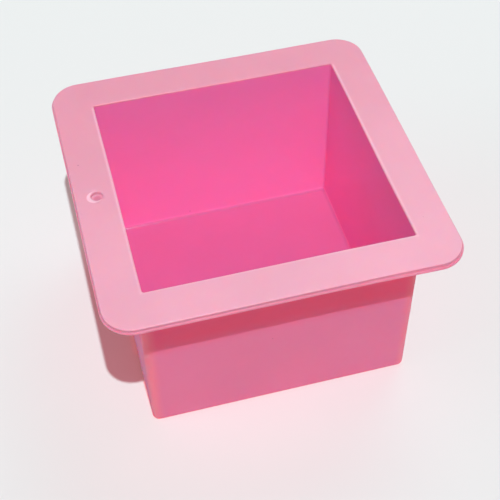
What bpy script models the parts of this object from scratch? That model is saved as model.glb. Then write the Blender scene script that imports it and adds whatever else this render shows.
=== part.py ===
# A square soap mould in silicone rubber: an open block-shaped cavity with thin walls and a
# floor, hung from a wide flat flange. The whole mould is cast in one shot, so it is one solid.
# Frame: metres, +Z up, origin at the middle of the base. The dimple is in the -X strip of the
# flange.

import math

import bmesh
import bpy

# Driving dimensions
OPENING_SIDE = 0.1000           # clear width of the cavity at its rim
CAVITY_DEPTH = 0.0740
FLOOR_THICKNESS = 0.0030
CAVITY_TAPER = 0.0001           # how far each cavity wall leans in from rim to floor
WALL_AT_FLANGE = 0.0027         # wall thickness just under the flange
WALL_AT_BASE = 0.0022           # the outside tapers more than the cavity does
FLANGE_WIDTH = 0.0159           # from the opening's edge to the flange's outer edge
FLANGE_THICKNESS = 0.0024
FLANGE_CORNER_RADIUS = 0.0115

# The flange's edge steps out at the mould's parting line
LIP_THICKNESS = 0.0011          # the thin lower part of the edge
LIP_REACH = 0.0006              # how far it stands out past the upper part

# Small radii
CAVITY_CORNER_RADIUS = 0.0009
CAVITY_FLOOR_RADIUS = 0.0008
RIM_RADIUS = 0.0006
FLANGE_EDGE_RADIUS = 0.0004
LIP_EDGE_RADIUS = 0.0003
UNDER_FLANGE_RADIUS = 0.0015
OUTER_CORNER_RADIUS = 0.0034
BASE_EDGE_RADIUS = 0.0012

# The blind dimple in the middle of one flange strip
DIMPLE_RADIUS = 0.0022
DIMPLE_DEPTH = 0.0016
DIMPLE_FROM_EDGE = 0.0087       # from the flange's outer edge to the dimple's middle
DIMPLE_BOTTOM_RADIUS = 0.0007
CUTTER_RISE = 0.0010            # how far the dimple's cutter stands above the flange

# Facets
CORNER_STEPS = 8                # along each rounded corner, seen from above
EDGE_STEPS = 3                  # across each rounded edge
DIMPLE_STEPS = 24               # round the dimple

# Worked out from the dimensions above
TOTAL_HEIGHT = CAVITY_DEPTH + FLOOR_THICKNESS
UNDERSIDE = TOTAL_HEIGHT - FLANGE_THICKNESS
HALF_OPENING = OPENING_SIDE / 2
HALF_CAVITY_FLOOR = HALF_OPENING - CAVITY_TAPER
HALF_FLANGE = HALF_OPENING + FLANGE_WIDTH
HALF_WALL_TOP = HALF_OPENING + WALL_AT_FLANGE
HALF_BASE = HALF_CAVITY_FLOOR + WALL_AT_BASE


def edge_arc(centre, radius, start, end):
    """Points (out, up) across a rounded edge, with the angles in degrees up from outward."""
    points = []
    for step in range(EDGE_STEPS + 1):
        angle = math.radians(start + (end - start) * step / EDGE_STEPS)
        points.append((centre[0] + radius * math.cos(angle), centre[1] + radius * math.sin(angle)))
    return points


def cavity_profile():
    """From the cavity floor's edge, up the inner wall and over the rim."""
    floor_centre = (HALF_CAVITY_FLOOR - CAVITY_FLOOR_RADIUS, FLOOR_THICKNESS + CAVITY_FLOOR_RADIUS)
    rim_centre = (HALF_OPENING + RIM_RADIUS, TOTAL_HEIGHT - RIM_RADIUS)
    floor_edge = edge_arc(floor_centre, CAVITY_FLOOR_RADIUS, -90, 0)
    rim = edge_arc(rim_centre, RIM_RADIUS, 180, 90)
    return floor_edge + rim


def flange_profile():
    """Over the flange's stepped outer edge to its flat underside."""
    half_upper = HALF_FLANGE - LIP_REACH
    ledge = UNDERSIDE + LIP_THICKNESS
    upper_centre = (half_upper - FLANGE_EDGE_RADIUS, TOTAL_HEIGHT - FLANGE_EDGE_RADIUS)
    lip_top_centre = (HALF_FLANGE - LIP_EDGE_RADIUS, ledge - LIP_EDGE_RADIUS)
    lip_bottom_centre = (HALF_FLANGE - LIP_EDGE_RADIUS, UNDERSIDE + LIP_EDGE_RADIUS)
    upper_edge = edge_arc(upper_centre, FLANGE_EDGE_RADIUS, 90, 0)
    lip_top = edge_arc(lip_top_centre, LIP_EDGE_RADIUS, 90, 0)
    lip_bottom = edge_arc(lip_bottom_centre, LIP_EDGE_RADIUS, 0, -90)
    return upper_edge + [(half_upper, ledge)] + lip_top + lip_bottom


def wall_profile():
    """From the fillet under the flange, down the outer wall and round the base's edge."""
    fillet_centre = (HALF_WALL_TOP + UNDER_FLANGE_RADIUS, UNDERSIDE - UNDER_FLANGE_RADIUS)
    base_centre = (HALF_BASE - BASE_EDGE_RADIUS, BASE_EDGE_RADIUS)
    fillet = edge_arc(fillet_centre, UNDER_FLANGE_RADIUS, 90, 180)
    base_edge = edge_arc(base_centre, BASE_EDGE_RADIUS, 0, -90)
    return fillet + base_edge


def add_ring(mesh, half_side, height, corner_centre):
    """One level ring of points: a square whose corners are arcs about +-corner_centre."""
    radius = half_side - corner_centre
    points = []
    for quarter in range(4):
        turn = math.radians(90 * quarter)
        for step in range(CORNER_STEPS + 1):
            angle = math.radians(90 * step / CORNER_STEPS)
            x = corner_centre + radius * math.cos(angle)
            y = corner_centre + radius * math.sin(angle)
            turned_x = x * math.cos(turn) - y * math.sin(turn)
            turned_y = x * math.sin(turn) + y * math.cos(turn)
            points.append(mesh.verts.new((turned_x, turned_y, height)))
    return points


def join_rings(mesh, inner, outer):
    """A band of quads from one ring to the next one along the profile."""
    count = len(inner)
    for index in range(count):
        after = (index + 1) % count
        mesh.faces.new((inner[index], outer[index], outer[after], inner[after]))


def silicone_material():
    """Translucent pink silicone, with the dull sheen that a matt mould cavity leaves."""
    material = bpy.data.materials.new("pink_silicone")
    material.use_nodes = True
    shader = material.node_tree.nodes["Principled BSDF"]
    shader.inputs["Base Color"].default_value = (0.84, 0.26, 0.40, 1.0)
    shader.inputs["Roughness"].default_value = 0.5
    shader.inputs["Metallic"].default_value = 0.0
    return material


def link_object(name, mesh):
    """Turn a bmesh into a linked object and free the bmesh."""
    data = bpy.data.meshes.new(name)
    mesh.to_mesh(data)
    mesh.free()
    new_object = bpy.data.objects.new(name, data)
    bpy.context.scene.collection.objects.link(new_object)
    return new_object


def make_mould_body():
    """Rings of the skin, joined in order and closed at the cavity floor and the base."""
    zones = [
        (cavity_profile(), HALF_CAVITY_FLOOR - CAVITY_CORNER_RADIUS),
        (flange_profile(), HALF_FLANGE - FLANGE_CORNER_RADIUS),
        (wall_profile(), HALF_WALL_TOP - OUTER_CORNER_RADIUS),
    ]
    mesh = bmesh.new()
    rings = []
    for profile, corner_centre in zones:
        for half_side, height in profile:
            rings.append(add_ring(mesh, half_side, height, corner_centre))
    for ring, next_ring in zip(rings, rings[1:]):
        join_rings(mesh, ring, next_ring)
    mesh.faces.new(rings[0])
    mesh.faces.new(reversed(rings[-1]))
    body = link_object("mould_body", mesh)
    body.data.materials.append(silicone_material())
    body.data.shade_smooth()
    body.data.set_sharp_from_angle(angle=math.radians(35))
    return body


def make_dimple_cutter():
    """A turned plug with a rounded bottom edge, standing where the dimple is cut."""
    bottom_centre = (DIMPLE_RADIUS - DIMPLE_BOTTOM_RADIUS, DIMPLE_BOTTOM_RADIUS - DIMPLE_DEPTH)
    profile = [(0.0, -DIMPLE_DEPTH)]
    profile += edge_arc(bottom_centre, DIMPLE_BOTTOM_RADIUS, -90, 0)
    profile += [(DIMPLE_RADIUS, CUTTER_RISE), (0.0, CUTTER_RISE)]
    mesh = bmesh.new()
    points = [mesh.verts.new((out, 0.0, up)) for out, up in profile]
    edges = [mesh.edges.new(pair) for pair in zip(points, points[1:])]
    bmesh.ops.spin(mesh, geom=points + edges, cent=(0, 0, 0), axis=(0, 0, 1), dvec=(0, 0, 0),
                   angle=2 * math.pi, steps=DIMPLE_STEPS, use_merge=True)
    bmesh.ops.remove_doubles(mesh, verts=mesh.verts, dist=0.000001)
    bmesh.ops.recalc_face_normals(mesh, faces=mesh.faces)
    cutter = link_object("dimple_cutter", mesh)
    cutter.location = (DIMPLE_FROM_EDGE - HALF_FLANGE, 0.0, TOTAL_HEIGHT)
    cutter.hide_render = True
    cutter.display_type = 'WIRE'
    return cutter


for old_object in list(bpy.data.objects):
    bpy.data.objects.remove(old_object)

mould_body = make_mould_body()
dimple = mould_body.modifiers.new("dimple", 'BOOLEAN')
dimple.operation = 'DIFFERENCE'
dimple.solver = 'EXACT'
dimple.object = make_dimple_cutter()
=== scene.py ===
import math

import bpy
from mathutils import Euler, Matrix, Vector


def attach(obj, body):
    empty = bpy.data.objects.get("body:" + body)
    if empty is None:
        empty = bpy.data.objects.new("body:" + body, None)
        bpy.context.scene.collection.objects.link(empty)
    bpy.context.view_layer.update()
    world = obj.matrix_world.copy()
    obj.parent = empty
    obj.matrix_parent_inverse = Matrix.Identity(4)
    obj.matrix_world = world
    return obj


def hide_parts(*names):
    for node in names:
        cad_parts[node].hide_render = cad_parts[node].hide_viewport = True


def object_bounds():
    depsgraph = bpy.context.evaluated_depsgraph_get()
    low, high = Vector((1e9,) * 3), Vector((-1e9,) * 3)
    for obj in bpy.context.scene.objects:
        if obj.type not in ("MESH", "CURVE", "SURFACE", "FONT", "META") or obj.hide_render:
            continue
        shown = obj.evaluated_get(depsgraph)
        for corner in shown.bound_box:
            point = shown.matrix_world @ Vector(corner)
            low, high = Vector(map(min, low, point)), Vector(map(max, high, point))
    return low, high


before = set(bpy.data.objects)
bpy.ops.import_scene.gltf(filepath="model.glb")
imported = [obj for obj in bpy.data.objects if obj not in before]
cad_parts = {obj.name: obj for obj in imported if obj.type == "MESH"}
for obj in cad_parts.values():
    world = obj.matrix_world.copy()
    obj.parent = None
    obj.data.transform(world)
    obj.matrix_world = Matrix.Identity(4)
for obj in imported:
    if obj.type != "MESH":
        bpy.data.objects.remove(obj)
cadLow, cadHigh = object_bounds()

print("frame loaded")


def linearColour(hexColour):
    # sRGB hex to the linear RGBA that the shaders take
    channels = [int(hexColour[i:i + 2], 16) / 255 for i in (1, 3, 5)]
    linear = [c / 12.92 if c <= 0.04045 else ((c + 0.055) / 1.055) ** 2.4 for c in channels]
    return (*linear, 1.0)


def addNode(tree, kind, settings=None, inputs=None):
    # One node with its settings; an input takes a value, a socket, or a node for its first output
    node = tree.nodes.new(kind)
    for name, value in (settings or {}).items():
        setattr(node, name, value)
    for name, value in (inputs or {}).items():
        if isinstance(value, bpy.types.Node):
            value = value.outputs[0]
        if isinstance(value, bpy.types.NodeSocket):
            tree.links.new(value, node.inputs[name])
        else:
            node.inputs[name].default_value = value
    return node


def addObject(name, data):
    made = bpy.data.objects.new(name, data)
    bpy.context.scene.collection.objects.link(made)
    return made


mould = {
    "opening": 0.1000,           # clear width of the cavity at its rim
    "flangeThickness": 0.0024,
    "floor": 0.0030,
    "cavityTaper": 0.0001,
    "wallTop": 0.0027,           # wall thickness under the flange
    "wallBase": 0.0022,
    "flangeCorner": 0.0115,
    "lipThickness": 0.0011,      # the lower part of the flange's edge, under the parting line
    "lipReach": 0.0006,          # how far the lip stands out past the upper part
    "cavityCorner": 0.0009,
    "floorRadius": 0.0014,       # at the cavity floor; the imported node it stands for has 0.0008
    "rimRadius": 0.0006,
    "edgeRadius": 0.0004,
    "grooveRadius": 0.0002,
    "lipRadius": 0.0003,
    "underRadius": 0.0015,
    "outerCorner": 0.0034,
    "baseRadius": 0.0012,
    "cornerSteps": 12,           # points round each corner and along each side, seen from above
    "sideSteps": 44,
    "floorSteps": 5,             # points round each rounded edge of the section
    "edgeSteps": 6,
    "grooveSteps": 3,
    "lipSteps": 4,
    "straightSteps": [16, 30, 12, 3, 2, 3, 10, 30, 16],      # and along each straight between them
    "weld": 0.000002,            # points nearer than this are joined
    "warpHeight": 0.0003,        # how far the soft walls and flange stray from flat
    "warpLength": 0.0600,
    "warpSeed": 3.0,
    "cornerSag": 0.0007,         # how far the flange's front right corner hangs down
    "backLean": 0.0004,          # how far the flange's back end is pulled to the left
}

dimple = {
    "radius": 0.0022,
    "depth": 0.0016,
    "fromEdge": 0.0087,          # from the flange's outer edge to the dimple's middle
    "bottomRadius": 0.0007,
    "flare": 0.0005,             # rounding where the dimple meets the flange's top
    "cornerSteps": 14,
    "bottomSteps": 6,
    "mouthSteps": 8,
    "mouthAngle": 95,            # where the flare ends, just short of level, in degrees
    "crescentRadius": 0.0029,    # a painted highlight, a pale crescent on the dimple's front left side, in colour only
    "crescentShift": (-0.0010, -0.0005, 0.0),
}


def arcPoints(outward, up, radius, start, end, steps):
    # Points (outward, up) round an edge; angles are in degrees up from outward
    points = []
    for step in range(steps + 1):
        angle = math.radians(start + (end - start) * step / steps)
        points.append((outward + radius * math.cos(angle), up + radius * math.sin(angle)))
    return points


def withCentre(points, centre):
    # (half side, corner centre, height); a ring smaller than its corner centre is a plain square
    return [(half, min(centre, half), height) for half, height in points]


def fillRun(first, last, steps):
    # Points between two stations, closer together near both ends
    points = []
    for step in range(1, steps):
        share = 0.5 - 0.5 * math.cos(math.pi * step / steps)
        points.append(tuple(a + (b - a) * share for a, b in zip(first, last)))
    return points


def joinRuns(runs, steps):
    # Joins runs of stations, filling the straight between each run and the next
    stations = list(runs[0])
    for run, count in zip(runs[1:], steps):
        stations += fillRun(stations[-1], run[0], count) + list(run)
    return stations


def mouldStations():
    # The mould's section, from the middle of the cavity floor, over the flange, to the base's middle
    halfFlange, top = cadHigh.x, cadHigh.z
    halfRim = mould["opening"] / 2
    halfFloor = halfRim - mould["cavityTaper"]
    halfWall = halfRim + mould["wallTop"]
    halfBase = halfFloor + mould["wallBase"]
    halfUpper = halfFlange - mould["lipReach"]
    under = top - mould["flangeThickness"]
    ledge = under + mould["lipThickness"]
    flangeCentre = halfFlange - mould["flangeCorner"]
    wallCentre = halfWall - mould["outerCorner"]
    r = mould["floorRadius"]
    floorEdge = arcPoints(halfFloor - r, mould["floor"] + r, r, -90, 0, mould["floorSteps"])
    r = mould["rimRadius"]
    rim = arcPoints(halfRim + r, top - r, r, 180, 90, mould["edgeSteps"])
    r = mould["edgeRadius"]
    upperEdge = arcPoints(halfUpper - r, top - r, r, 90, 0, mould["edgeSteps"])
    r = mould["grooveRadius"]
    groove = arcPoints(halfUpper + r, ledge + r, r, 180, 270, mould["grooveSteps"])
    r = mould["lipRadius"]
    lipTop = arcPoints(halfFlange - r, ledge - r, r, 90, 0, mould["lipSteps"])
    lipUnder = arcPoints(halfFlange - r, under + r, r, 0, -90, mould["lipSteps"])
    r = mould["underRadius"]
    fillet = arcPoints(halfWall + r, under - r, r, 90, 180, mould["edgeSteps"])
    r = mould["baseRadius"]
    baseEdge = arcPoints(halfBase - r, r, r, 0, -90, mould["edgeSteps"])
    runs = [
        withCentre([(0.0, mould["floor"])], 0.0),
        withCentre(floorEdge, halfFloor - mould["cavityCorner"]),
        withCentre(rim, halfRim - mould["cavityCorner"]),
        withCentre(upperEdge, flangeCentre),
        withCentre(groove, flangeCentre),
        withCentre(lipTop, flangeCentre),
        withCentre(lipUnder, flangeCentre),
        withCentre(fillet, wallCentre),
        withCentre(baseEdge, wallCentre),
        withCentre([(0.0, 0.0)], 0.0),
    ]
    return joinRuns(runs, mould["straightSteps"])


def dimpleStations():
    # A turned plug: its rings have their corner centres on the axis, so they are circles
    r, flare = dimple["bottomRadius"], dimple["flare"]
    bottom = arcPoints(dimple["radius"] - r, r - dimple["depth"], r, -90, 0, dimple["bottomSteps"])
    mouth = arcPoints(dimple["radius"] + flare, -flare, flare, 180, dimple["mouthAngle"],
                      dimple["mouthSteps"])
    rise = (mouth[-1][0] + flare, flare)
    upwards = [(0.0, -dimple["depth"])] + bottom + mouth + [rise, (0.0, flare)]
    return [(half, 0.0, height) for half, height in reversed(upwards)]


def stationObject(name, stations):
    # The stations as a line of points, which the tree reads by index
    data = bpy.data.meshes.new(name)
    data.from_pydata(stations, [(i, i + 1) for i in range(len(stations) - 1)], [])
    return addObject(name, data)


def ringSkinGroup():
    # Lays a grid round the stations: along them one way, round a square with round corners the other
    tree = bpy.data.node_groups.new("ringSkin", 'GeometryNodeTree')
    tree.interface.new_socket("Stations", in_out='INPUT', socket_type='NodeSocketGeometry')
    tree.interface.new_socket("Corner Steps", in_out='INPUT', socket_type='NodeSocketInt')
    tree.interface.new_socket("Side Steps", in_out='INPUT', socket_type='NodeSocketInt')
    tree.interface.new_socket("Skin", in_out='OUTPUT', socket_type='NodeSocketGeometry')
    given = addNode(tree, "NodeGroupInput").outputs
    stations, corner, side = given["Stations"], given["Corner Steps"], given["Side Steps"]
    count = addNode(tree, "GeometryNodeAttributeDomainSize", {"component": 'MESH'}, {0: stations})
    quarterSteps = addNode(tree, "ShaderNodeMath", {"operation": 'ADD'}, {0: corner, 1: side})
    around = addNode(tree, "ShaderNodeMath", {"operation": 'MULTIPLY_ADD'}, {0: quarterSteps, 1: 4, 2: 1})
    grid = addNode(tree, "GeometryNodeMeshGrid", {}, {"Vertices X": around, "Vertices Y": count})

    # The grid's points run along the stations first, then one step round
    index = addNode(tree, "GeometryNodeInputIndex")
    row = addNode(tree, "ShaderNodeMath", {"operation": 'MODULO'}, {0: index, 1: count})
    column = addNode(tree, "ShaderNodeMath", {"operation": 'DIVIDE'}, {0: index, 1: count})
    step = addNode(tree, "ShaderNodeMath", {"operation": 'FLOOR'}, {0: column})
    turns = addNode(tree, "ShaderNodeMath", {"operation": 'DIVIDE'}, {0: step, 1: quarterSteps})
    quarter = addNode(tree, "ShaderNodeMath", {"operation": 'FLOOR'}, {0: turns})
    within = addNode(tree, "ShaderNodeMath", {"operation": 'MODULO'}, {0: step, 1: quarterSteps})
    cornerStep = addNode(tree, "ShaderNodeMath", {"operation": 'MINIMUM'}, {0: within, 1: corner})
    sideStep = addNode(tree, "ShaderNodeMath", {"operation": 'SUBTRACT'}, {0: within, 1: cornerStep})
    bend = addNode(tree, "ShaderNodeMath", {"operation": 'DIVIDE'}, {0: cornerStep, 1: corner})
    angle = addNode(tree, "ShaderNodeMath", {"operation": 'MULTIPLY'}, {0: bend, 1: math.pi / 2})
    along = addNode(tree, "ShaderNodeMath", {"operation": 'DIVIDE'}, {0: sideStep, 1: side})

    place = addNode(tree, "GeometryNodeInputPosition")
    station = addNode(tree, "GeometryNodeSampleIndex", {"data_type": 'FLOAT_VECTOR', "domain": 'POINT'},
                      {"Geometry": stations, "Value": place, "Index": row})
    half, centre, height = addNode(tree, "ShaderNodeSeparateXYZ", {}, {0: station}).outputs
    radius = addNode(tree, "ShaderNodeMath", {"operation": 'SUBTRACT'}, {0: half, 1: centre})
    cosine = addNode(tree, "ShaderNodeMath", {"operation": 'COSINE'}, {0: angle})
    sine = addNode(tree, "ShaderNodeMath", {"operation": 'SINE'}, {0: angle})
    x = addNode(tree, "ShaderNodeMath", {"operation": 'MULTIPLY_ADD'}, {0: radius, 1: cosine, 2: centre})
    y = addNode(tree, "ShaderNodeMath", {"operation": 'MULTIPLY_ADD'}, {0: radius, 1: sine, 2: centre})
    passed = addNode(tree, "ShaderNodeMath", {"operation": 'MULTIPLY'}, {0: along, 1: centre})
    x = addNode(tree, "ShaderNodeMath", {"operation": 'MULTIPLY_ADD'}, {0: passed, 1: -2.0, 2: x})
    point = addNode(tree, "ShaderNodeCombineXYZ", {}, {0: x, 1: y, 2: height})
    turn = addNode(tree, "ShaderNodeMath", {"operation": 'MULTIPLY'}, {0: quarter, 1: math.pi / 2})
    turned = addNode(tree, "ShaderNodeVectorRotate", {"rotation_type": 'Z_AXIS'},
                     {"Vector": point, "Angle": turn})
    laid = addNode(tree, "GeometryNodeSetPosition", {}, {"Geometry": grid, "Position": turned})
    welded = addNode(tree, "GeometryNodeMergeByDistance", {}, {"Geometry": laid, "Distance": mould["weld"]})
    outward = addNode(tree, "GeometryNodeFlipFaces", {}, {0: welded})
    addNode(tree, "NodeGroupOutput", {}, {0: outward})
    return tree


def mouldTree(ringSkin):
    tree = bpy.data.node_groups.new("siliconeMould", 'GeometryNodeTree')
    named = {
        "Geometry": 'NodeSocketGeometry', "Stations": 'NodeSocketObject', "Corner Steps": 'NodeSocketInt',
        "Side Steps": 'NodeSocketInt', "Dimple Stations": 'NodeSocketObject',
        "Dimple Steps": 'NodeSocketInt', "Dimple Place": 'NodeSocketVector',
        "Flange Reach": 'NodeSocketFloat', "Wall Reach": 'NodeSocketFloat', "Height": 'NodeSocketFloat',
        "Warp Height": 'NodeSocketFloat', "Warp Length": 'NodeSocketFloat', "Warp Seed": 'NodeSocketFloat',
        "Corner Sag": 'NodeSocketFloat', "Back Lean": 'NodeSocketFloat', "Material": 'NodeSocketMaterial',
    }
    for name, kind in named.items():
        tree.interface.new_socket(name, in_out='INPUT', socket_type=kind)
    tree.interface.new_socket("Geometry", in_out='OUTPUT', socket_type='NodeSocketGeometry')
    given = addNode(tree, "NodeGroupInput").outputs
    line = addNode(tree, "GeometryNodeObjectInfo", {}, {0: given["Stations"]})
    body = addNode(tree, "GeometryNodeGroup", {"node_tree": ringSkin}, {
        "Stations": line.outputs["Geometry"], "Corner Steps": given["Corner Steps"],
        "Side Steps": given["Side Steps"]})
    dimpleLine = addNode(tree, "GeometryNodeObjectInfo", {}, {0: given["Dimple Stations"]})
    turned = addNode(tree, "GeometryNodeGroup", {"node_tree": ringSkin}, {
        "Stations": dimpleLine.outputs["Geometry"], "Corner Steps": given["Dimple Steps"], "Side Steps": 0})
    plug = addNode(tree, "GeometryNodeTransform", {}, {0: turned, "Translation": given["Dimple Place"]})
    cut = addNode(tree, "GeometryNodeMeshBoolean", {"operation": 'DIFFERENCE', "solver": 'EXACT'},
                  {"Mesh 1": body, "Mesh 2": plug})

    # The soft walls and flange stray a little from flat, more towards the top
    place = addNode(tree, "GeometryNodeInputPosition")
    x, y, z = addNode(tree, "ShaderNodeSeparateXYZ", {}, {0: place}).outputs
    raised = addNode(tree, "ShaderNodeMath", {"operation": 'DIVIDE', "use_clamp": True},
                     {0: z, 1: given["Height"]})
    waves = addNode(tree, "ShaderNodeMath", {"operation": 'DIVIDE'}, {0: 1.0, 1: given["Warp Length"]})
    noise = addNode(tree, "ShaderNodeTexNoise", {"noise_dimensions": '4D'},
                    {"Vector": place, "W": given["Warp Seed"], "Scale": waves, "Detail": 0.0})
    centred = addNode(tree, "ShaderNodeVectorMath", {"operation": 'SUBTRACT'},
                      {0: noise.outputs["Color"], 1: (0.5, 0.5, 0.5)})
    amount = addNode(tree, "ShaderNodeMath", {"operation": 'MULTIPLY'}, {0: raised, 1: given["Warp Height"]})
    twice = addNode(tree, "ShaderNodeMath", {"operation": 'MULTIPLY'}, {0: amount, 1: 2.0})
    stray = addNode(tree, "ShaderNodeVectorMath", {"operation": 'SCALE'}, {0: centred, "Scale": twice})

    # The flange's front right corner hangs down, and its back end is pulled to the left
    flangeEdge, wallEdge = given["Flange Reach"], given["Wall Reach"]
    front = addNode(tree, "ShaderNodeMath", {"operation": 'MULTIPLY'}, {0: flangeEdge, 1: -1.0})
    rightShare = addNode(tree, "ShaderNodeMapRange", {"interpolation_type": 'SMOOTHSTEP'},
                         {"Value": x, "From Min": 0.0, "From Max": flangeEdge})
    frontShare = addNode(tree, "ShaderNodeMapRange", {"interpolation_type": 'SMOOTHSTEP'},
                         {"Value": y, "From Min": 0.0, "From Max": front})
    backShare = addNode(tree, "ShaderNodeMapRange", {},
                        {"Value": y, "From Min": front, "From Max": flangeEdge})
    spread = addNode(tree, "ShaderNodeVectorMath", {"operation": 'ABSOLUTE'}, {0: place})
    spreadX, spreadY, _ = addNode(tree, "ShaderNodeSeparateXYZ", {}, {0: spread}).outputs
    reach = addNode(tree, "ShaderNodeMath", {"operation": 'MAXIMUM'}, {0: spreadX, 1: spreadY})
    outer = addNode(tree, "ShaderNodeMapRange", {},
                    {"Value": reach, "From Min": wallEdge, "From Max": flangeEdge})
    corner = addNode(tree, "ShaderNodeMath", {"operation": 'MULTIPLY'}, {0: rightShare, 1: frontShare})
    hang = addNode(tree, "ShaderNodeMath", {"operation": 'MULTIPLY'}, {0: corner, 1: outer})
    pull = addNode(tree, "ShaderNodeMath", {"operation": 'MULTIPLY'}, {0: backShare, 1: outer})
    down = addNode(tree, "ShaderNodeMath", {"operation": 'MULTIPLY'}, {0: hang, 1: given["Corner Sag"]})
    left = addNode(tree, "ShaderNodeMath", {"operation": 'MULTIPLY'}, {0: pull, 1: given["Back Lean"]})
    bent = addNode(tree, "ShaderNodeCombineXYZ", {}, {0: left, 1: 0.0, 2: down})
    offset = addNode(tree, "ShaderNodeVectorMath", {"operation": 'SUBTRACT'}, {0: stray, 1: bent})
    warped = addNode(tree, "GeometryNodeSetPosition", {}, {"Geometry": cut, "Offset": offset})
    smooth = addNode(tree, "GeometryNodeSetShadeSmooth", {}, {0: warped})
    real = addNode(tree, "GeometryNodeRealizeInstances", {}, {0: smooth})
    finished = addNode(tree, "GeometryNodeSetMaterial", {}, {"Geometry": real, "Material": given["Material"]})
    addNode(tree, "NodeGroupOutput", {}, {0: finished})
    return tree


def runTree(name, tree, values):
    # Puts the tree on an empty mesh, sets its inputs by identifier and keeps the result as a plain mesh
    made = addObject(name, bpy.data.meshes.new(name))
    modifier = made.modifiers.new(tree.name, 'NODES')
    modifier.node_group = tree
    for socket in tree.interface.items_tree:
        if socket.in_out == 'INPUT' and socket.name in values:
            modifier[socket.identifier] = values[socket.name]
    graph = bpy.context.evaluated_depsgraph_get()
    result = bpy.data.meshes.new_from_object(made.evaluated_get(graph), depsgraph=graph)
    made.modifiers.clear()
    made.data = result
    return made


# Silicone rubber, compression moulded: a satin skin over a body that scatters light a little. The flange is
# palest and matt, and the cavity is deepest and a little glossier. The tones are matched zone by zone under
# this studio's lamps, so some are painted light and shade for light the shader doesn't carry through the
# walls.
silicone = {
    "walls": "#e37c9f",
    "upperWallShade": "#f06a8c",     # painted shade: a deeper red for the front wall's shade under the flange; on all four walls
    "cornerGlow": "#ee8295",    # painted light: a redder tone for red light glowing out of the upright corners
    "flange": "#e19db2",
    "flangeFrontSheen": "#e9aec3",    # painted sheen: the flange gets paler towards the front
    # the cavity's pink, partly its own colour and partly painted light for the light that builds up inside it
    "cavity": "#ff94d1",
    # painted shade: the cavity's floor is darker than its walls
    "cavityFloorShade": "#cb699e",
    "rim": "#f0bccd",            # painted highlight: light caught by the opening's rounded edge
    "lip": "#e58fab",            # the thin lower part of the flange's edge
    "partingLineShade": "#d98ba4",    # painted shade: a darker line along the step in the flange's edge
    # painted shade: the dimple's inside is darker
    "dimple": "#d286a0",
    # painted highlight: a pale crescent on the dimple's front left lip
    "crescentHighlight": "#ffc8d8",
    "speck": "#b06a86",
    "ior": 1.41,
    "roughnessOutside": 0.35,
    "roughnessCavity": 0.12,
    "sheen": 0.5,                # specular level of the flange and the cavity
    "wallSheen": 0.0,            # and of the outer walls; it is linked, so an export leaves both out
    "subsurface": 1.0,
    "subsurfaceRadius": (1.0, 0.1, 0.15),
    "subsurfaceScale": 0.0018,
    "passedFlange": "#aa1919",   # what each face lets through of a lamp's light, only in a render
    "passedWalls": "#f93850",
    "floorFade": 0.0014,         # height over which the cavity's wall turns into its floor's painted shade
    "deepenFrom": 0.0400,        # heights between which the painted shade on the upper walls fades in
    "deepenTo": 0.0510,
    "cloud": 0.0300,             # width of the faint clouds in the pigment
    "cloudDetail": 3.0,
    "cloudFrom": 0.3,            # range of the noise that is spread over the tones
    "cloudTo": 0.7,
    "toneLow": 0.98,
    "toneHigh": 1.02,
    "grain": 0.0006,             # 0.3 mm grit, drawn at twice its size so that it shows
    "grainDetail": 2.0,
    "grainStrength": 0.25,
    "grainHeight": 0.00005,
    "speckSpacing": 0.0160,
    "speckRadius": 0.0004,
}

# Where each zone fades in: (none of it, all of it), in metres from the edge that the mask names
fades = {
    "upright": (-0.0030, 0.0012),
    "under": (-0.0004, 0.0002),
    "inside": (0.0006, 0.0002),
    "aboveBase": (0.0014, 0.0016),
    "cavityTop": (-0.0004, -0.0009),
    "rim": (0.0014, 0.0004),
    "rimTop": (-0.0012, -0.0004),
    "rimBack": (0.0, -0.0020),
    "outerEdge": (-0.0004, -0.0001),
    "ledge": (0.0003, 0.0),
    "lineOutside": (0.0006, 0.0003),
    "lineBottom": (-0.0002, 0.0001),
    "lineTop": (-0.0004, -0.0007),
    "dimple": (0.0004, -0.0004),
    "dimpleTop": (-0.0002, -0.0010),
    "crescentHighlight": (0.0002, -0.0002),
    "crescentInside": (0.0001, 0.0005),
}


def fadeFrom(value, edge, name):
    # A ramp over value that is 0 and 1 at the zone's two distances from the edge
    none, full = fades[name]
    return (value, edge + none, edge + full)


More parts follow.
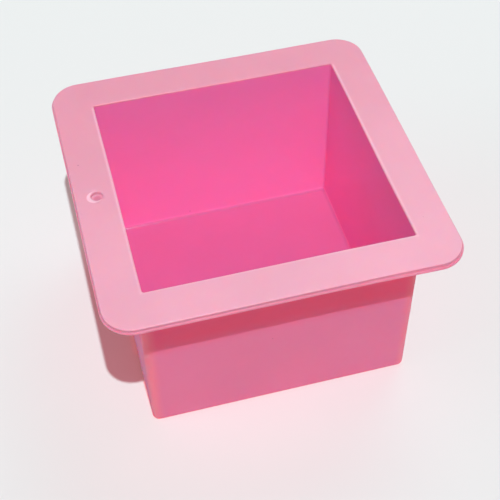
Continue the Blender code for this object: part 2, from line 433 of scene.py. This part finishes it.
def siliconeMaterial():
    top, halfRim = cadHigh.z, mould["opening"] / 2
    under = top - mould["flangeThickness"]
    ledge = under + mould["lipThickness"]
    flangeCentre = cadHigh.x - mould["flangeCorner"]
    upperRadius = mould["flangeCorner"] - mould["lipReach"]
    material = bpy.data.materials.new("siliconeCompressionMoulded")
    material.use_nodes = True
    tree = material.node_tree
    tree.nodes.clear()
    place = addNode(tree, "ShaderNodeTexCoord").outputs["Object"]
    spread = addNode(tree, "ShaderNodeVectorMath", {"operation": 'ABSOLUTE'}, {0: place})
    spreadX, spreadY, z = addNode(tree, "ShaderNodeSeparateXYZ", {}, {0: spread}).outputs
    reach = addNode(tree, "ShaderNodeMath", {"operation": 'MAXIMUM'}, {0: spreadX, 1: spreadY})
    near = addNode(tree, "ShaderNodeMath", {"operation": 'MINIMUM'}, {0: spreadX, 1: spreadY})
    y = addNode(tree, "ShaderNodeSeparateXYZ", {}, {0: place}).outputs["Y"]
    # Distance out from the centres of the flange's round corners
    beyond = addNode(tree, "ShaderNodeVectorMath", {"operation": 'SUBTRACT'},
                     {0: spread, 1: (flangeCentre, flangeCentre, 1.0)})
    held = addNode(tree, "ShaderNodeVectorMath", {"operation": 'MAXIMUM'}, {0: beyond, 1: (0.0, 0.0, 0.0)})
    outward = addNode(tree, "ShaderNodeVectorMath", {"operation": 'LENGTH'}, {0: held}).outputs["Value"]
    hole = (dimple["fromEdge"] - cadHigh.x, 0.0, top)
    fromHole = addNode(tree, "ShaderNodeVectorMath", {"operation": 'DISTANCE'},
                       {0: place, 1: hole}).outputs["Value"]
    fromCrescent = addNode(tree, "ShaderNodeVectorMath", {"operation": 'DISTANCE'},
                           {0: place, 1: Vector(hole) + Vector(dimple["crescentShift"])}).outputs["Value"]
    cells = addNode(tree, "ShaderNodeTexVoronoi", {},
                    {"Vector": place, "Scale": 1 / silicone["speckSpacing"]})

    # Each mask is one or more ramps, (value, where it is 0, where it is 1), multiplied together
    # Most zones here hold painted light and shade: the upper walls' shade, the corners' glow, the flange's
    # front sheen, the floor's shade, the rim's highlight, the darker parting line, the dimple's shade and its
    # crescent highlight; the cavity's tone is partly so
    masks = {
        "upperWallShade": [(z, silicone["deepenFrom"], silicone["deepenTo"])],
        "cornerGlow": [fadeFrom(near, halfRim, "upright")],
        "flange": [fadeFrom(z, under, "under")],
        "flangeFrontSheen": [fadeFrom(z, under, "under"), (y, cadHigh.y, cadLow.y)],
        "cavity": [fadeFrom(reach, halfRim, "inside"), fadeFrom(z, 0.0, "aboveBase"),
                   fadeFrom(z, top, "cavityTop")],
        "cavityFloorShade": [fadeFrom(reach, halfRim, "inside"), fadeFrom(z, 0.0, "aboveBase"),
                        (z, mould["floor"] + silicone["floorFade"], mould["floor"])],
        "rim": [fadeFrom(reach, halfRim, "rim"), fadeFrom(z, top, "rimTop"),
                fadeFrom(y, halfRim, "rimBack")],
        "lip": [fadeFrom(outward, upperRadius, "outerEdge"), fadeFrom(z, ledge, "ledge")],
        "partingLineShade": [fadeFrom(outward, upperRadius, "outerEdge"),
                        fadeFrom(outward, upperRadius, "lineOutside"),
                        fadeFrom(z, ledge, "lineBottom"), fadeFrom(z, top, "lineTop")],
        "dimple": [fadeFrom(fromHole, dimple["radius"], "dimple"), fadeFrom(z, top, "dimpleTop")],
        "crescentHighlight": [fadeFrom(fromCrescent, dimple["crescentRadius"], "crescentHighlight"),
                     fadeFrom(fromHole, dimple["radius"], "crescentInside")],
        "speck": [(cells.outputs["Distance"], silicone["speckRadius"] / silicone["speckSpacing"], 0.0)],
    }
    colour = linearColour(silicone["walls"])
    shares = {}
    for name, ramps in masks.items():
        share = None
        for value, low, high in ramps:
            ramp = addNode(tree, "ShaderNodeMapRange", {"interpolation_type": 'SMOOTHSTEP'},
                           {"Value": value, "From Min": low, "From Max": high})
            if share is None:
                share = ramp
            else:
                share = addNode(tree, "ShaderNodeMath", {"operation": 'MULTIPLY'}, {0: share, 1: ramp})
        shares[name] = share
        colour = addNode(tree, "ShaderNodeMix", {"data_type": 'RGBA'},
                         {0: share, 6: colour, 7: linearColour(silicone[name])}).outputs[2]

    cloud = addNode(tree, "ShaderNodeTexNoise", {}, {
        "Vector": place, "Scale": 1 / silicone["cloud"], "Detail": silicone["cloudDetail"]})
    tone = addNode(tree, "ShaderNodeMapRange", {}, {
        "Value": cloud.outputs["Fac"], "From Min": silicone["cloudFrom"], "From Max": silicone["cloudTo"],
        "To Min": silicone["toneLow"], "To Max": silicone["toneHigh"]})
    toned = addNode(tree, "ShaderNodeVectorMath", {"operation": 'SCALE'}, {0: colour, "Scale": tone})
    rough = addNode(tree, "ShaderNodeMapRange", {}, {
        "Value": shares["cavity"], "To Min": silicone["roughnessOutside"],
        "To Max": silicone["roughnessCavity"]})
    glossy = addNode(tree, "ShaderNodeMath", {"operation": 'MAXIMUM'},
                     {0: shares["cavity"], 1: shares["flange"]})
    sheen = addNode(tree, "ShaderNodeMapRange", {}, {
        "Value": glossy, "To Min": silicone["wallSheen"], "To Max": silicone["sheen"]})
    grain = addNode(tree, "ShaderNodeTexNoise", {}, {
        "Vector": place, "Scale": 1 / silicone["grain"], "Detail": silicone["grainDetail"]})
    bump = addNode(tree, "ShaderNodeBump", {}, {
        "Height": grain.outputs["Fac"], "Strength": silicone["grainStrength"],
        "Distance": silicone["grainHeight"]})
    shader = addNode(tree, "ShaderNodeBsdfPrincipled", {}, {
        "Base Color": toned, "Roughness": rough, "Normal": bump, "IOR": silicone["ior"],
        "Specular IOR Level": sheen,
        "Subsurface Weight": silicone["subsurface"], "Subsurface Radius": silicone["subsurfaceRadius"],
        "Subsurface Scale": silicone["subsurfaceScale"],
    })

    # Lamp light goes straight on through the walls and comes out red, with hard edges, since nothing
    # scatters it. An export keeps only the shader.
    thick = addNode(tree, "ShaderNodeMath", {"operation": 'SUBTRACT', "use_clamp": True},
                    {0: shares["flange"], 1: shares["cavity"]})
    tint = addNode(tree, "ShaderNodeMix", {"data_type": 'RGBA'},
                   {0: thick, 6: linearColour(silicone["passedWalls"]),
                    7: linearColour(silicone["passedFlange"])}).outputs[2]
    through = addNode(tree, "ShaderNodeBsdfTransparent", {}, {"Color": tint})
    rays = addNode(tree, "ShaderNodeLightPath")
    either = addNode(tree, "ShaderNodeMixShader", {},
                     {0: rays.outputs["Is Shadow Ray"], 1: shader, 2: through})
    addNode(tree, "ShaderNodeOutputMaterial", {}, {"Surface": either})
    return material


def makeMould():
    halfFlange, top = cadHigh.x, cadHigh.z
    stations = stationObject("mouldStations", mouldStations())
    dimpleLine = stationObject("dimpleStations", dimpleStations())
    piece = runTree("silicone_mould", mouldTree(ringSkinGroup()), {
        "Stations": stations,
        "Corner Steps": mould["cornerSteps"],
        "Side Steps": mould["sideSteps"],
        "Dimple Stations": dimpleLine,
        "Dimple Steps": dimple["cornerSteps"],
        "Dimple Place": (dimple["fromEdge"] - halfFlange, 0.0, top),
        "Flange Reach": halfFlange,
        "Wall Reach": mould["opening"] / 2 + mould["wallTop"],
        "Height": top,
        "Warp Height": mould["warpHeight"],
        "Warp Length": mould["warpLength"],
        "Warp Seed": mould["warpSeed"],
        "Corner Sag": mould["cornerSag"],
        "Back Lean": mould["backLean"],
        "Material": siliconeMaterial(),
    })
    for line in (stations, dimpleLine):
        bpy.data.objects.remove(line)
    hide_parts("mould_body")
    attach(piece, "root")
    print("mould skin:", len(piece.data.vertices), "points,", len(piece.data.polygons), "faces")
    return piece


studio = {
    "floorColour": "#e1e5e5",
    "floorSize": 4.0,
    "floorRoughness": 0.9,
    "floorSpecular": 0.2,
    "keyHeading": 0.0,           # degrees round from the front
    "keyElevation": 65.7,
    "keyAngle": 1.0,             # how large the key looks from the mould, in degrees
    "keyStrength": 2.6,
    "boxDistance": 1.2,
    "boxSize": 0.6,
    "backHeading": 140.0,        # a soft box behind the mould, to its right
    "backElevation": 52.0,
    "backPower": 2.2,
    "leftHeading": 270.0,        # a weaker soft box on the left, which reaches the cavity's right wall
    "leftElevation": 30.0,
    "leftPower": 1.7,
    "fillColour": "#ffffff",
    "fillStrength": 0.18,
    "bounces": 12,               # diffuse bounces, enough for the light to even out in the cavity
}

view = {
    "aim": (-0.0009, -0.0082, 0.0385),
    "heading": 14.26,            # degrees that the camera looks to the right of +Y
    "elevation": 48.49,
    "roll": -0.94,
    "distance": 0.4446,
    "lens": 79.82,
    "clipStart": 0.01,
}


def makeFloor():
    half = studio["floorSize"] / 2
    data = bpy.data.meshes.new("floor")
    data.from_pydata([(-half, -half, 0), (half, -half, 0), (half, half, 0), (-half, half, 0)], [],
                     [(0, 1, 2, 3)])
    paper = bpy.data.materials.new("paperSweepMatt")
    paper.use_nodes = True
    shader = paper.node_tree.nodes["Principled BSDF"]
    shader.inputs["Base Color"].default_value = linearColour(studio["floorColour"])
    shader.inputs["Roughness"].default_value = studio["floorRoughness"]
    shader.inputs["Specular IOR Level"].default_value = studio["floorSpecular"]
    data.materials.append(paper)
    addObject("floor", data)
    print("floor ready")


def makeLights():
    key = addObject("key", bpy.data.lights.new("key", 'SUN'))
    key.data.energy = studio["keyStrength"]
    key.data.angle = math.radians(studio["keyAngle"])
    tilt = math.radians(90 - studio["keyElevation"])
    key.rotation_euler = Euler((tilt, 0, math.radians(studio["keyHeading"])))

    for name in ("back", "left"):
        box = addObject(name, bpy.data.lights.new(name, 'AREA'))
        box.data.energy = studio[name + "Power"]
        box.data.size = studio["boxSize"]
        tilt = math.radians(90 - studio[name + "Elevation"])
        box.rotation_euler = Euler((tilt, 0, math.radians(studio[name + "Heading"])))
        box.location = box.rotation_euler.to_matrix() @ Vector((0, 0, studio["boxDistance"]))

    world = bpy.data.worlds.new("studioFill")
    world.use_nodes = True
    background = world.node_tree.nodes["Background"]
    background.inputs["Color"].default_value = linearColour(studio["fillColour"])
    background.inputs["Strength"].default_value = studio["fillStrength"]
    bpy.context.scene.world = world
    bpy.context.scene.view_settings.view_transform = 'Standard'
    bpy.context.scene.cycles.diffuse_bounces = studio["bounces"]
    print("lights ready")


def makeCamera():
    heading, elevation = math.radians(view["heading"]), math.radians(view["elevation"])
    ahead = Vector((math.sin(heading) * math.cos(elevation), math.cos(heading) * math.cos(elevation),
                    -math.sin(elevation)))
    camera = addObject("camera", bpy.data.cameras.new("camera"))
    camera.data.lens = view["lens"]
    camera.data.clip_start = view["clipStart"]
    camera.location = Vector(view["aim"]) - ahead * view["distance"]
    roll = Euler((0, 0, math.radians(view["roll"]))).to_quaternion()
    camera.rotation_mode = 'QUATERNION'
    camera.rotation_quaternion = ahead.to_track_quat('-Z', 'Y') @ roll
    bpy.context.scene.camera = camera
    print("camera at", [round(v, 4) for v in camera.location])


makeCamera()
makeFloor()
makeLights()
makeMould()
